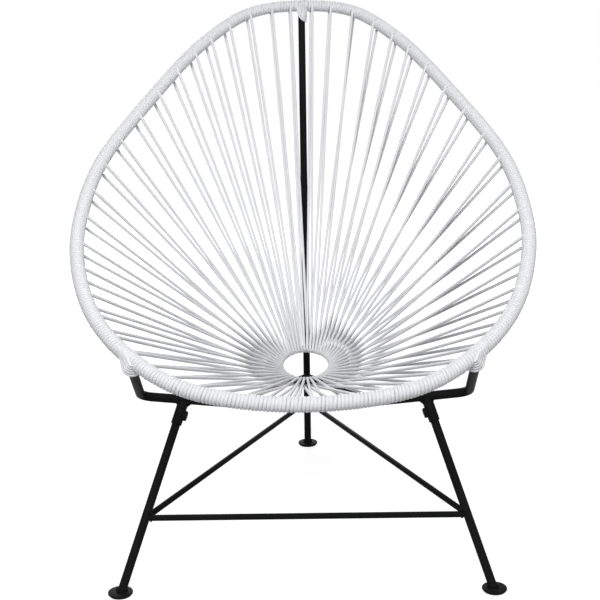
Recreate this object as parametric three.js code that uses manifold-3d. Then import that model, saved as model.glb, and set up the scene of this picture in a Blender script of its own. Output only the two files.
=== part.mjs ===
// Acapulco chair: a pear-shaped steel rim wound with cord, cords drawn from the rim to a small
// centre ring, and a tripod of steel tube. Millimetres, +Z up, the sitter faces -Y.
// The origin lies on the floor, below the middle of the chair.
import * as THREE from "three";
import { mergeVertices } from "three/addons/utils/BufferGeometryUtils.js";
import Module from "manifold-3d";

const wasm = await Module();
wasm.setup();

// Clearances
const fitGap = 0.3; // left between two pieces that touch
const cutOverrun = 12; // how far a cutting solid runs past what it cuts
const mergeDistance = 1e-4; // vertices closer than this are one

// Seat rim, measured on the axis of its tube
const rimTubeDiameter = 12.5;
const rimHalfWidth = 353;
const rimBackY = 440;
const rimFrontY = -439;
const rimBackHeight = 858;
const rimFrontHeight = 342;
// Left half of the rim from the top of the back to the middle of the front:
// shares of the half width, of the way forward and of the rise above the front
const rimPointShares = [
  [0, 0, 1],
  [0.27, 0.008, 0.98],
  [0.513, 0.101, 0.882],
  [0.77, 0.271, 0.698],
  [0.955, 0.461, 0.525],
  [1, 0.6, 0.395],
  [0.98, 0.706, 0.297],
  [0.873, 0.83, 0.182],
  [0.7, 0.916, 0.097],
  [0.45, 0.977, 0.03],
  [0, 1, 0],
];
const rimDivisions = 2000; // for measuring along its curve
const rimStations = 60; // straight steps of the bent tube all round
const rimSides = 10;

// Cord: one long vinyl cord, shown as equal runs that each wind on, go down and come back twice
const cordDiameter = 5;
const strandDiameter = 4.8; // drawn taut, the strands are a little thinner than the winding
const strandSides = 6;
const pairsPerRun = 2;
// Length of rim that each of the left half's runs covers, as shares of half the rim
const runShares = [
  0.057, 0.084, 0.077, 0.106, 0.11, 0.106, 0.096, 0.087, 0.073, 0.053, 0.056, 0.061, 0.034,
];
const pairShare = 0.48; // where in its stretch of rim a pair leaves
const turnPitch = 5.25; // rim covered by one turn of the real winding
const ribPitch = 24; // one rib stands for four to five of those turns
const ribDepth = 1.4;
const ribEndShare = 0.1; // of a rib's pitch left plain at each end of a sleeve
const ribSides = 8;

// Centre ring that gathers the cords
const ringRodDiameter = 8;
const ringCentreY = 102;
const ringCentreHeight = 231;
const ringTiltDegrees = 21.3;
const loopGap = 0.3; // between neighbouring cord loops on the inside of the ring
const loopSteps = 4;

// Back spine: one straight tube from the top of the rim to the rear foot
const frameTubeDiameter = 12.5;
const rearFootY = 306;

// Crossbar under the seat, its two ends turned up and forward to the rim
const riserShare = 0.8035; // where on half the rim the crossbar's end meets it
const crossbarY = -161;
const crossbarBelowCords = 31; // from the straight line between ring and rim front to its axis
const crossbarCornerX = 260;
const crossbarCornerRise = 28;
const crossbarCornerSetback = 9;
const crossbarBendLength = 34; // of each leg of a corner that the bend takes up
const bendSteps = 5;
const tubeSides = 12;

// Sockets and front legs
const socketX = 192;
const socketDiameter = 16.5;
const socketLength = 38; // from the crossbar's axis to the lower lip
const legInsertLength = 27;
const frontFootX = 284;
const frontFootY = -320;

// Bolt through socket and leg
const boltDiameter = 8;
const boltHeadAcrossFlats = 13;
const boltHeadHeight = 5.3;
const boltFromLip = 14;
const boltPastAxis = 3.1; // how far its tip goes past the leg's axis
const hexSides = 6;

// Braces and arms of round rod
const braceRodDiameter = 9.6;
const braceHeight = 99;
const sideBraceDrop = 16; // the side braces fall towards the spine
const sideBraceOffset = 4.5; // and meet it on its left and right flanks
const armBelowRing = 94; // from the ring's middle down to the arms' weld on the spine
const armX = 116;

// Feet
const footDiscDiameter = 38;
const footDiscThickness = 3;
const footPadDiameter = 34;
const footPadThickness = 2;
const footSides = 20;

const surface = (color, roughness, metalness) =>
  new THREE.MeshStandardMaterial({ color, roughness, metalness });
const blackCoat = surface(0x1d1e20, 0.5, 0.35);
const whiteVinyl = surface(0xe9e9ee, 0.42, 0);
const blackRubber = surface(0x161616, 0.85, 0);

const vec = (x, y, z) => new THREE.Vector3(x, y, z);
const up = vec(0, 0, 1);
const along = (from, to, distance) => to.clone().sub(from).setLength(distance).add(from);

// A closed three.js geometry as a solid that can be joined and cut
function solidOf(geometry) {
  const bare = geometry.clone();
  bare.deleteAttribute("normal");
  bare.deleteAttribute("uv");
  const merged = mergeVertices(bare, mergeDistance);
  const vertProperties = merged.attributes.position.array;
  const triVerts = new Uint32Array(merged.index.array);
  return new wasm.Manifold(new wasm.Mesh({ numProp: 3, vertProperties, triVerts }));
}

function geometryOf(solid) {
  const mesh = solid.getMesh();
  const geometry = new THREE.BufferGeometry();
  geometry.setAttribute("position", new THREE.BufferAttribute(mesh.vertProperties, 3));
  geometry.setIndex(new THREE.BufferAttribute(mesh.triVerts, 1));
  geometry.computeVertexNormals();
  return geometry;
}

// A ring of points round a centre; the first lies turnShare of a step past the first direction
function ringPoints(centre, first, second, radius, sides, turnShare = 0) {
  return Array.from({ length: sides }, (_, i) => {
    const angle = (2 * Math.PI * (i + turnShare)) / sides;
    return centre
      .clone()
      .addScaledVector(first, radius * Math.cos(angle))
      .addScaledVector(second, radius * Math.sin(angle));
  });
}

// Skin through rings of equal count, closed on itself or capped at both ends
function loft(rings, closed = false) {
  const sides = rings[0].length;
  const position = rings.flat().flatMap((p) => p.toArray());
  const index = [];
  const last = closed ? rings.length : rings.length - 1;
  for (let i = 0; i < last; i++) {
    const here = i * sides;
    const next = ((i + 1) % rings.length) * sides;
    for (let j = 0; j < sides; j++) {
      const k = (j + 1) % sides;
      index.push(here + j, here + k, next + k, here + j, next + k, next + j);
    }
  }
  if (!closed) {
    const end = (rings.length - 1) * sides;
    for (let j = 1; j < sides - 1; j++) {
      index.push(0, j + 1, j, end, end + j, end + j + 1);
    }
  }
  const geometry = new THREE.BufferGeometry();
  geometry.setAttribute("position", new THREE.Float32BufferAttribute(position, 3));
  geometry.setIndex(index);
  return geometry;
}

// Tube through a list of stations, its section kept from twisting
function tubeThrough(stations, radius, sides, side = up, turnShare = 0) {
  const rings = stations.map((station, i) => {
    const before = stations[Math.max(i - 1, 0)];
    const after = stations[Math.min(i + 1, stations.length - 1)];
    const incoming = station.clone().sub(before).normalize();
    const outgoing = after.clone().sub(station).normalize();
    const tangent = incoming.add(outgoing).normalize();
    const second = tangent.clone().cross(side).normalize();
    const first = second.clone().cross(tangent);
    return ringPoints(station, first, second, radius, sides, turnShare);
  });
  return loft(rings);
}

// Straight round bar between two points
function rod(from, to, diameter, sides = tubeSides) {
  const length = from.distanceTo(to);
  const bar = new THREE.CylinderGeometry(diameter / 2, diameter / 2, length, sides);
  const turn = new THREE.Quaternion().setFromUnitVectors(vec(0, 1, 0), to.clone().sub(from).normalize());
  return solidOf(bar.applyQuaternion(turn).translate(...from.clone().lerp(to, 0.5).toArray()));
}

// Width of a faceted hole whose flats clear a round piece of the given diameter
const clearDiameter = (diameter, sides = tubeSides) =>
  (diameter + 2 * fitGap) / Math.cos(Math.PI / sides);

// Bar that clears a round piece between two points and runs past both, for coping
function clearanceRod(from, to, diameter) {
  const reach = from.distanceTo(to) + cutOverrun;
  return rod(along(to, from, reach), along(from, to, reach), clearDiameter(diameter));
}

// A cube larger than the chair, for cutting at a plane
const cutSize = 3 * rimBackHeight;
const cutCube = () => new THREE.BoxGeometry(cutSize, cutSize, cutSize);

// Everything below a height is cut away
const cutBelow = (solid, height) => solid.subtract(solidOf(cutCube().translate(0, 0, height - cutSize / 2)));

// Everything past the middle plane is cut away, so a left piece clears its mirror image
const cutAtMiddle = (solid) => solid.subtract(solidOf(cutCube().translate((cutSize - fitGap) / 2, 0, 0)));

// Rim axis: one smooth closed curve, left side first
const rimPoint = ([x, forward, rise]) =>
  vec(
    -x * rimHalfWidth,
    rimBackY + forward * (rimFrontY - rimBackY),
    rimFrontHeight + rise * (rimBackHeight - rimFrontHeight),
  );
const leftRimPoints = rimPointShares.map(rimPoint);
const rightRimPoints = leftRimPoints.slice(1, -1).reverse().map((p) => vec(-p.x, p.y, p.z));
const rimCurve = new THREE.CatmullRomCurve3([...leftRimPoints, ...rightRimPoints], true, "centripetal");
rimCurve.arcLengthDivisions = rimDivisions;
const rimLength = rimCurve.getLength();
const halfRim = rimLength / 2;

const ringCentre = vec(0, ringCentreY, ringCentreHeight);
const rimPath = (distance) => rimCurve.getPointAt(THREE.MathUtils.euclideanModulo(distance / rimLength, 1));

// Position and direction of the rim at a distance along it, with the normals that point away
// from the sitter and inward to the seat
function rimFrame(distance) {
  const share = THREE.MathUtils.euclideanModulo(distance / rimLength, 1);
  const centre = rimCurve.getPointAt(share);
  const tangent = rimCurve.getTangentAt(share);
  const away = ringCentre.clone().sub(centre).cross(tangent).normalize();
  return { centre, tangent, away, inward: tangent.clone().cross(away) };
}

const stationStep = rimLength / rimStations;
const stationFrames = Array.from({ length: rimStations }, (_, i) => rimFrame(i * stationStep));

// Points of one kind at the two stations round a distance, blended as the straight step between them
function onRimStep(distance, pointsOf) {
  const place = distance / stationStep;
  const before = Math.floor(place);
  const [from, to] = [before, before + 1].map((i) =>
    pointsOf(stationFrames[THREE.MathUtils.euclideanModulo(i, rimStations)]),
  );
  return from.map((point, i) => point.lerp(to[i], place - before));
}

// Section of a tube concentric with the rim's
function rimSection(distance, radius, sides, turnShare) {
  const around = (frame) => ringPoints(frame.centre, frame.away, frame.inward, radius, sides, turnShare);
  return onRimStep(distance, around);
}

function rimLoop(radius, sides) {
  const places = Array.from({ length: rimStations }, (_, i) => i * stationStep);
  return loft(places.map((place) => rimSection(place, radius, sides, 0)), true);
}

const rimTube = solidOf(rimLoop(rimTubeDiameter / 2, rimSides));
const rimClearance = solidOf(rimLoop(clearDiameter(rimTubeDiameter, rimSides) / 2, rimSides));

// Centre ring, its plane tipped towards the sitter's knees
const ringTilt = THREE.MathUtils.degToRad(ringTiltDegrees);
const ringForward = vec(0, -Math.cos(ringTilt), -Math.sin(ringTilt));
const ringNormal = vec(0, -Math.sin(ringTilt), Math.cos(ringTilt));
const runCount = 2 * runShares.length;
const pairCount = runCount * pairsPerRun;
const strandFlat = (strandDiameter / 2) * Math.cos(Math.PI / strandSides);
const loopRadius = (ringRodDiameter / 2 + fitGap + strandFlat) / Math.cos(Math.PI / 2 / loopSteps);
const ringRadius = (pairCount * (strandDiameter + loopGap)) / (2 * Math.PI) + loopRadius;
const loopAngle = (pair) => (2 * Math.PI * (pair + 0.5)) / pairCount;
const ringSpoke = (angle) =>
  ringForward.clone().multiplyScalar(-Math.cos(angle)).addScaledVector(vec(-1, 0, 0), Math.sin(angle));

function centreRing() {
  const rings = Array.from({ length: pairCount }, (_, i) => {
    const spoke = ringSpoke(loopAngle(i));
    const centre = ringCentre.clone().addScaledVector(spoke, ringRadius);
    return ringPoints(centre, ringNormal, spoke, ringRodDiameter / 2, ribSides);
  });
  return solidOf(loft(rings, true));
}

// Winding on a stretch of rim: a ribbed sleeve whose ribs climb as one thread
function windingSleeve(start, end) {
  const boreRadius = clearDiameter(rimTubeDiameter, ribSides) / 2;
  const crest = rimTubeDiameter / 2 + fitGap + cordDiameter;
  const turns = Math.max(1, Math.round((end - start) / ribPitch));
  const pitch = (end - start) / turns;
  const points = [];
  const add = (point) => points.push(point) - 1;
  const outside = (distance, column, radius) => add(rimSection(distance, radius, ribSides, 0)[column]);
  const columns = Array.from({ length: ribSides }, (_, column) => {
    const line = [{ at: start, id: outside(start, column, crest - ribDepth) }];
    for (let step = -1; step <= 2 * turns; step++) {
      const at = start + pitch * (step / 2 + column / ribSides);
      const radius = step % 2 === 0 ? crest - ribDepth : crest;
      const inside = at > start + pitch * ribEndShare && at < end - pitch * ribEndShare;
      if (inside) line.push({ at, id: outside(at, column, radius) });
    }
    line.push({ at: end, id: outside(end, column, crest - ribDepth) });
    return line;
  });
  const index = [];
  columns.forEach((left, column) => {
    const right = columns[(column + 1) % ribSides];
    let [i, j] = [0, 0];
    while (i < left.length - 1 || j < right.length - 1) {
      const stepLeft = j === right.length - 1 || (i < left.length - 1 && left[i + 1].at <= right[j + 1].at);
      const third = stepLeft ? left[i + 1].id : right[j + 1].id;
      index.push(left[i].id, right[j].id, third);
      if (stepLeft) i++;
      else j++;
    }
  });
  const inner = [start];
  for (let i = Math.ceil(start / stationStep); i * stationStep < end; i++) {
    if (i * stationStep > start) inner.push(i * stationStep);
  }
  inner.push(end);
  const bore = inner.map((at) => rimSection(at, boreRadius, ribSides, 0.5).map(add));
  for (let i = 0; i < bore.length - 1; i++) {
    for (let j = 0; j < ribSides; j++) {
      const k = (j + 1) % ribSides;
      index.push(bore[i][j], bore[i + 1][k], bore[i][k], bore[i][j], bore[i + 1][j], bore[i + 1][k]);
    }
  }
  for (let j = 0; j < ribSides; j++) {
    const k = (j + 1) % ribSides;
    const first = [columns[j][0].id, columns[k][0].id, bore[0][j], bore[0][k]];
    const tail = bore.length - 1;
    const last = [columns[j].at(-1).id, columns[k].at(-1).id, bore[tail][j], bore[tail][k]];
    index.push(first[0], first[2], first[1], first[2], first[3], first[1]);
    index.push(last[0], last[1], last[2], last[2], last[1], last[3]);
  }
  const geometry = new THREE.BufferGeometry();
  geometry.setAttribute("position", new THREE.Float32BufferAttribute(points.flatMap((p) => p.toArray()), 3));
  geometry.setIndex(index);
  return solidOf(geometry);
}

// One pair of strands: from the sitter's side of the rim over the ring, round its inner edge and
// back to the rim's far side, where the winding is half a turn further on
function strandPair(frontAt, ringAngle) {
  const windRadius = rimTubeDiameter / 2 + fitGap + cordDiameter / 2;
  const spoke = ringSpoke(ringAngle);
  const ringAxis = ringCentre.clone().addScaledVector(spoke, ringRadius);
  const ringTangent = spoke.clone().cross(ringNormal).normalize();
  const leave = (distance, side) => {
    const [centre] = onRimStep(distance, (frame) => [frame.centre.clone()]);
    const toRing = ringAxis.clone().sub(centre);
    const toSitter = rimFrame(distance).tangent.cross(toRing).normalize();
    return centre.addScaledVector(toSitter, side * windRadius);
  };
  const climb = (point) => {
    const toRim = point.clone().sub(ringAxis);
    return Math.atan2(toRim.dot(ringNormal), toRim.dot(spoke));
  };
  const front = leave(frontAt, 1);
  const rear = leave(frontAt + turnPitch / 2, -1);
  const [first, last] = [climb(front), Math.PI + climb(rear)];
  const stations = [front];
  for (let step = 0; step <= loopSteps; step++) {
    const angle = THREE.MathUtils.lerp(first, last, step / loopSteps);
    stations.push(
      ringAxis
        .clone()
        .addScaledVector(ringNormal, loopRadius * Math.cos(angle))
        .addScaledVector(spoke, -loopRadius * Math.sin(angle)),
    );
  }
  stations.push(rear);
  return solidOf(tubeThrough(stations, strandDiameter / 2, strandSides, ringTangent));
}

// Back spine
const rimTop = rimPath(0);
const rearFoot = vec(0, rearFootY, 0);
const footTop = footPadThickness + fitGap + footDiscThickness + fitGap;
const spineLine = [rearFoot, rimTop];
const onSpine = (height) => rearFoot.clone().lerp(rimTop, height / rimTop.z);
const spine = cutBelow(rod(...spineLine, frameTubeDiameter), footTop).subtract(rimClearance);

// Crossbar with its two upturned ends
const riserTop = rimPath(riserShare * halfRim);
const ringFront = ringCentre.clone().addScaledVector(ringForward, ringRadius);
const crossbarShare = (crossbarY - ringFront.y) / (rimFrontY - ringFront.y);
const cordHeight = THREE.MathUtils.lerp(ringFront.z, rimFrontHeight, crossbarShare);
const crossbarMiddle = vec(0, crossbarY, cordHeight - crossbarBelowCords);
const toCorner = vec(-crossbarCornerX, -crossbarCornerSetback, crossbarCornerRise);
const crossbarCorner = crossbarMiddle.clone().add(toCorner);
const onCrossbar = (x) => crossbarMiddle.clone().lerp(crossbarCorner, -x / crossbarCornerX);

function crossbarStations() {
  const bendStart = along(crossbarCorner, riserTop, crossbarBendLength);
  const bendEnd = along(crossbarCorner, crossbarMiddle, crossbarBendLength);
  const bend = new THREE.QuadraticBezierCurve3(bendStart, crossbarCorner, bendEnd).getPoints(bendSteps);
  const left = [riserTop, ...bend];
  const right = left.map((p) => vec(-p.x, p.y, p.z)).reverse();
  return [...left, crossbarMiddle, ...right];
}
const crossbarSide = vec(0, 1, 1).normalize();
const crossbarTube = (radius) => solidOf(tubeThrough(crossbarStations(), radius, tubeSides, crossbarSide));
const crossbar = crossbarTube(frameTubeDiameter / 2).subtract(rimClearance);
const crossbarClearance = crossbarTube(clearDiameter(frameTubeDiameter) / 2);

// Front leg, left: its line runs from the foot to the crossbar's axis
const legFoot = vec(-frontFootX, frontFootY, 0);
const legHead = onCrossbar(-socketX);
const legLength = legFoot.distanceTo(legHead);
const onLeg = (fromHead) => along(legHead, legFoot, fromHead);
const legAtHeight = (height) => legFoot.clone().lerp(legHead, height / legHead.z);
const lip = onLeg(socketLength);
const legTop = onLeg(socketLength - legInsertLength);

// Bolt from the inner side, square to the leg
const boltCentre = onLeg(socketLength - boltFromLip);
const legDirection = legFoot.clone().sub(legHead).normalize();
const boltDirection = vec(1, 0, 0).addScaledVector(legDirection, -legDirection.x).normalize();
const boltAt = (distance) => boltCentre.clone().addScaledVector(boltDirection, distance);
const boltTip = boltAt(-boltPastAxis);
const boltSeatDistance = socketDiameter / 2 + fitGap;
const boltSeat = boltAt(boltSeatDistance);

function socket() {
  const body = rod(legHead, lip, socketDiameter).subtract(crossbarClearance);
  const boreTop = along(lip, legHead, legInsertLength + fitGap);
  const boreEnd = along(boreTop, lip, legInsertLength + cutOverrun);
  const bore = rod(boreTop, boreEnd, clearDiameter(frameTubeDiameter));
  const boltHole = rod(boltCentre, boltAt(socketDiameter), clearDiameter(boltDiameter));
  return body.subtract(bore).subtract(boltHole);
}

function frontLeg() {
  const tube = cutBelow(rod(legFoot, legTop, frameTubeDiameter), footTop);
  const holeEnd = boltAt(-boltPastAxis - fitGap);
  return tube.subtract(rod(holeEnd, boltAt(socketDiameter), clearDiameter(boltDiameter)));
}

function socketBolt() {
  const shank = rod(boltTip, boltAt(boltSeatDistance + boltHeadHeight / 2), boltDiameter);
  const headWidth = boltHeadAcrossFlats / Math.cos(Math.PI / hexSides);
  const head = rod(boltSeat, boltAt(boltSeatDistance + boltHeadHeight), headWidth, hexSides);
  return shank.add(head);
}

// Brace triangle near the floor, and the arms from the spine to the crossbar
const legClearance = clearanceRod(legFoot, legHead, frameTubeDiameter);
const rightLegClearance = clearanceRod(
  vec(frontFootX, frontFootY, 0),
  vec(-legHead.x, legHead.y, legHead.z),
  frameTubeDiameter,
);
const spineClearance = clearanceRod(...spineLine, frameTubeDiameter);
const braceJoint = legAtHeight(braceHeight);

const frontBraceLine = [braceJoint, vec(-braceJoint.x, braceJoint.y, braceJoint.z)];

function frontBrace() {
  const bar = rod(...frontBraceLine, braceRodDiameter);
  return bar.subtract(legClearance).subtract(rightLegClearance);
}

function sideBrace() {
  const weld = onSpine(braceHeight - sideBraceDrop).add(vec(-sideBraceOffset, 0, 0));
  const bar = rod(braceJoint, weld, braceRodDiameter);
  const frontClearance = clearanceRod(...frontBraceLine, braceRodDiameter);
  return cutAtMiddle(bar.subtract(legClearance).subtract(spineClearance).subtract(frontClearance));
}

function arm() {
  const bar = rod(onSpine(ringCentreHeight - armBelowRing), onCrossbar(-armX), braceRodDiameter);
  return cutAtMiddle(bar.subtract(spineClearance).subtract(crossbarClearance));
}

// Foot: a steel disc with a rubber pad under it
function footPlate(foot, diameter, thickness, bottom) {
  const plate = new THREE.CylinderGeometry(diameter / 2, diameter / 2, thickness, footSides);
  return plate.rotateX(Math.PI / 2).translate(foot.x, foot.y, bottom + thickness / 2);
}
const footDisc = (foot) => footPlate(foot, footDiscDiameter, footDiscThickness, footPadThickness + fitGap);
const footPad = (foot) => footPlate(foot, footPadDiameter, footPadThickness, 0);

// One run of cord on the left half: its winding with the strands that leave it
function cordRun(run) {
  const shareBefore = runShares.slice(0, run).reduce((sum, share) => sum + share, 0);
  const start = shareBefore * halfRim + fitGap / 2;
  const end = (shareBefore + runShares[run]) * halfRim - fitGap / 2;
  const stretch = (end - start) / pairsPerRun;
  let body = windingSleeve(start, end).subtract(spineClearance).subtract(crossbarClearance);
  for (let pair = 0; pair < pairsPerRun; pair++) {
    const angle = loopAngle(run * pairsPerRun + pair);
    body = body.add(strandPair(start + (pair + pairShare) * stretch, angle));
  }
  return body;
}

function piece(name, shape, material) {
  const geometry = shape instanceof THREE.BufferGeometry ? shape : geometryOf(shape);
  const mesh = new THREE.Mesh(geometry, material);
  mesh.name = name;
  return mesh;
}

const chair = new THREE.Group();
const leftSide = new THREE.Group();
const rightSide = new THREE.Group();
rightSide.scale.x = -1;
chair.add(leftSide, rightSide);

// A piece that the chair has on both sides is drawn on the left and mirrored
function addBothSides(name, shape, material) {
  leftSide.add(piece(name + "_left", shape, material));
  rightSide.add(piece(name + "_right", shape, material));
}

chair.add(piece("rim_tube", rimTube, blackCoat));
chair.add(piece("centre_ring", centreRing(), blackCoat));
chair.add(piece("back_spine", spine, blackCoat));
chair.add(piece("crossbar", crossbar, blackCoat));
chair.add(piece("front_brace", frontBrace(), blackCoat));
chair.add(piece("foot_disc_rear", footDisc(rearFoot), blackCoat));
chair.add(piece("foot_pad_rear", footPad(rearFoot), blackRubber));
addBothSides("leg_socket", socket(), blackCoat);
addBothSides("front_leg", frontLeg(), blackCoat);
addBothSides("socket_bolt", socketBolt(), blackCoat);
addBothSides("side_brace", sideBrace(), blackCoat);
addBothSides("seat_arm", arm(), blackCoat);
addBothSides("foot_disc", footDisc(legFoot), blackCoat);
addBothSides("foot_pad", footPad(legFoot), blackRubber);
runShares.forEach((_, run) => {
  const number = String(run + 1).padStart(2, "0");
  addBothSides("cord_run_" + number, cordRun(run), whiteVinyl);
});

export default chair;
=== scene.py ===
# Acapulco chair in its finished looks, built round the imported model.
# The origin lies on the floor below the middle of the chair, +Z is up and the sitter faces -Y.
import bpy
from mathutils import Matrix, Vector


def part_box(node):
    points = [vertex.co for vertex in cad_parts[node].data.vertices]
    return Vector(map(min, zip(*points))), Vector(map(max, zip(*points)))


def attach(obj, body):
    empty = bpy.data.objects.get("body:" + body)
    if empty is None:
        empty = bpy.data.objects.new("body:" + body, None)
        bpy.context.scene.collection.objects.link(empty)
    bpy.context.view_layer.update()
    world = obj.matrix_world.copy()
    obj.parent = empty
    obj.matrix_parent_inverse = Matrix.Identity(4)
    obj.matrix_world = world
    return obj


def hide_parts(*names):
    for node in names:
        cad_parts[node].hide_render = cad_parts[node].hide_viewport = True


bl_info = {
    "name": "Strung Patio Chair",
    "version": (1, 0, 0),
    "blender": (4, 5, 0),
    "location": "3D View > Sidebar > Chair",
    "description": "Makes a chair of cord strung on a steel rim, on a tripod of steel tube",
    "category": "Add Mesh",
}

import math

import bmesh
import bpy
import numpy as np
from bpy.props import FloatProperty, FloatVectorProperty, PointerProperty
from mathutils import Matrix, Vector

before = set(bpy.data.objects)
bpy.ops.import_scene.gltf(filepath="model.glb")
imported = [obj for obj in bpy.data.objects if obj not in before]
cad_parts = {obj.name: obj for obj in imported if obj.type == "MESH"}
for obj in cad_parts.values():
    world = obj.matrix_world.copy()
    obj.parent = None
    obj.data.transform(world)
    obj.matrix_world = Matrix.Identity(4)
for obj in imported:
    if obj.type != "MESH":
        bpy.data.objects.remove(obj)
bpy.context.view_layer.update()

BODY = "root"
CORD_MAP = "along_cord"
MM = 0.001
SIDES = ("left", "right")
FLIP = Vector((-1, 1, 1))  # turns a place on the left into the one on the right
CRISP_ANGLE = math.radians(38)  # edges sharper than this aren't smoothed
FACING = 0.99  # cosine from which a face counts as looking along a direction
SAME_PLACE = 1e-5  # metres within which two points are one
ASLANT = (0.31, 0.52, 0.79)  # a direction along which no cord starts

# Left half of the rim from the top of the back to the middle of the front:
# shares of the half width, of the way forward and of the rise above the front
RIM_POINT_SHARES = (
    (0, 0, 1),
    (0.27, 0.008, 0.98),
    (0.513, 0.101, 0.882),
    (0.77, 0.271, 0.698),
    (0.955, 0.461, 0.525),
    (1, 0.6, 0.395),
    (0.98, 0.706, 0.297),
    (0.873, 0.83, 0.182),
    (0.7, 0.916, 0.097),
    (0.45, 0.977, 0.03),
    (0, 1, 0),
)
CURVE_STEPS = 200  # samples between two of these points

# Steel on the left side, in metres
RISER_SHARE = 0.8035  # where the crossbar's end meets the rim, as a share of half the rim
BAR_MIDDLE = (0, -0.161, 0.2387)
BAR_CORNER = (-0.26, -0.17, 0.2667)
CORNER_REACH, MIDDLE_REACH = 0.018, 0.05  # of straight bar that a bend takes up
SOCKET_ASIDE, ARM_ASIDE = -0.192, -0.116  # where socket and arm meet the crossbar
BRACE_ASIDE, BRACE_DROP = -0.0045, 0.016  # side brace on the spine, below the front brace
ARM_DROP = 0.094  # from the ring's middle down to the arms' ends on the spine
TUBE_FOOT = 0.0045  # height at which legs and spine end inside their discs
SPINE_SHARE = 0.9965  # of the way to the rim's axis that the spine reaches
BRACE_SHARES = (0.012, 0.99)  # of the way between two joints that a brace or arm fills
BRACE_INSET = 0.003  # from the leg's axis to the front brace's end
ARM_INSET = -0.002  # from the spine's axis to an arm's end
SOCKET_PLAY = 0.0003  # between a leg and its socket
SOCKET_DEPTH, LEG_DEPTH = 0.024, 0.022  # of the bore, and of the leg in it
BOLT_UP = 0.0165  # from the socket's lip to the bolt
BOLT_SUNK, BOLT_HEIGHT = 0.0018, 0.0053  # depth of the head's seat and its height
BOLT_CROWN, BOLT_RISE, BOLT_EDGE = 0.0016, 0.0006, 0.0005  # inset and rise of its top, and edge
BEAD_SIZE, SOCKET_BEAD, COLLAR_SIZE = 0.0016, 0.0018, 0.0024  # radii of the weld beads
BEAD_RIPPLES = ((0.14, 9), (0.05, 23))  # height and number of the ripples round a bead
BEAD_CLEAR = 1.02  # least width of a tube, over the rod's, that a bead can lie on
GUSSET_LEGS, GUSSET_HALF = (0.0075, 0.0085), 0.0015  # two sides and half the thickness
GUSSET_ROOT = 0.8  # of a tube's radius, where the gusset starts inside it
DISC_EDGE, PAD_EDGE = 0.0009, 0.0005  # softened edges of a foot

# Length of rim that each of the left half's runs of cord covers, as shares of half the rim
RUN_SHARES = (
    0.057, 0.084, 0.077, 0.106, 0.11, 0.106, 0.096, 0.087, 0.073, 0.053, 0.056, 0.061, 0.034,
)
PAIRS_PER_RUN = 2
PAIR_SHARE = 0.48  # where in its stretch of rim a pair leaves
RUN_GAP = 0.003  # of a turn, left open at each end of a run
PRESSED = 1.03  # width of a wound turn over the pitch: the turns press against each other
TAUT = 0.96  # width of a strand over the cord's: drawn taut, it is a little thinner
RING_PLAY = 0.1 * MM  # between a strand and the ring's rod
LOOP_ADVANCE = 6.8 * MM  # that a pair moves on along the ring as it goes round the rod
LEAVING_TURNS = 0.13  # over which the winding rises and slants towards a strand
LIFT_LIMIT = 0.4  # of the cord's diameter, the most that it rises
JOIN_SHIFT = 0.1  # of the cord's diameter, by which turns close up behind a strand
JOIN_START, JOIN_TURNS = 0.6, 4  # turns over which they do so, and lose it again
BEND_POINTS, STRAND_POINTS = 13, 12  # round the ring's rod, and on a straight strand

# Lashing at the top of the spine
LASHED_TURNS = 1.7  # turns of the winding to each side that it stands for
SPINE_HOOKS = (0.0285, 0.0240, 0.0196, 0.0153, 0.0112)  # how far down the spine each turn hooks
SPINE_CORD = 0.42  # radius over the cord's diameter
SPINE_SPACING = 0.78  # of the winding's pitch
SPINE_LIFT = (0.2, 0.15)  # in cord radii over the winding: first turn, and more for each next
SPINE_ARC = range(-200, 41, 20)  # degrees round the rim
HOOK_SHARES = (0.35, 0.6, 0.8, 0.93, 1.0)  # of the quarter turn down to the spine's flank
HOOK_AHEAD, HOOK_END = 0.75, 0.2  # of the flank's radius, in front of the spine's axis
HOOK_BEHIND = ((0.5, 0.45), (1, -0.3))  # rise in cord radii, and place across in flank radii

# Nested loops over a crossbar end; each pair is the innermost one's size and what the next adds
LASHING_LOOPS = 5
LASHING_DROP = 0.0085  # middle of the loops below the rim's axis
LASHING_FORWARD = 0.010  # and how far in front of the crossbar's end they lie along the rim
LOOP_REACH = (2.5 * MM, 2.6 * MM)
LOOP_AHEAD = (-9.5 * MM, 3.7 * MM)
LOOP_BEHIND = (2 * MM, 4.4 * MM)
LOOP_SPREAD = 0.8  # of its reach that a loop starts along the rim
LOOP_START, START_LIFT = (-150, -120, -95), -0.2  # degrees round the rim, and cord radii over it
LOOP_ARC = range(40, 181, 20)  # degrees round the loop's middle
LOOP_END = ((-75, 0.6), (-52, 0.5), (-28, 0.2), (0, -0.3))  # degrees and lift, as at its start
LASHING_STEPS = 5  # samples between two points of a lashing

# How finely round shapes are divided; rings and beads are divided round the ring and the rod
STEPS_PER_TURN = 20
CORD_SIDES = 12
TUBE_SIDES = 32
DISC_SIDES = 48
RING_SIDES = (72, 14)
BEAD_SIDES = (40, 8)
BEND_STEPS = 9

# The stage
FLOOR_SIZE = 14
FLOOR_GREY = 0.4
GLOW_REACH, GLOW_LEVELS = (0.5, 1.8), (0.80, 1.0)  # the floor's own glow grows outwards
LAMPS = (
    ("key", (-0.3, -2.15, 2.35), 1.1),
    ("fill", (1.9, -1.3, 1.9), 1.8),
    ("back", (-0.5, 2.6, 1.4), 1.8),
)
LAMP_AIM = Vector((0, 0, 0.4))
SENSOR_WIDTH = 36  # millimetres


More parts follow.
